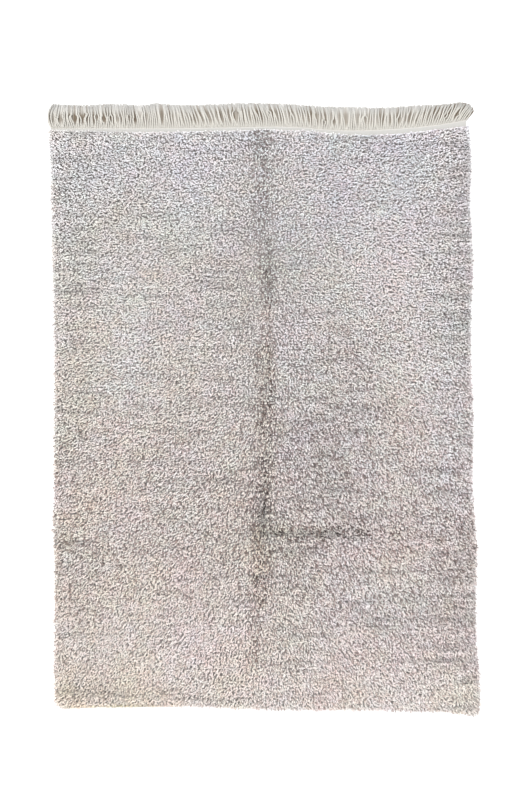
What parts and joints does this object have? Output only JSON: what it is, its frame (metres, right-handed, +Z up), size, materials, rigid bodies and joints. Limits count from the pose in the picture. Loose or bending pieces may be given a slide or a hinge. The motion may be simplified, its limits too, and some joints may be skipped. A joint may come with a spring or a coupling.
{
  "type": "beni ourain rug",
  "caption": "Oblong hand-knotted wool rug with a deep, soft, marled ivory and grey pile, a flat-woven heading at each end and a warp fringe along one end, lying flat.",
  "frame": {"origin": "middle of the rug's box in plan, on the floor under it", "axes": "+X across the rug, +Y along it towards the fringe, +Z up out of the pile"},
  "size_m": [2.0368, 2.8934, 0.0275],
  "materials": {
    "ground_wool": "plain-woven undyed wool on warps, matt, with fine ribs",
    "pile_wool": "deep knotted pile of twisted undyed wool, marled ivory and grey-brown, soft with a faint sheen",
    "warp_yarn": "twisted cream warp yarn, matt"
  },
  "bodies": {
    "root": {"ground_weave": "ground_wool", "pile": "pile_wool", "fringe": "warp_yarn"}
  },
  "joints": []
}
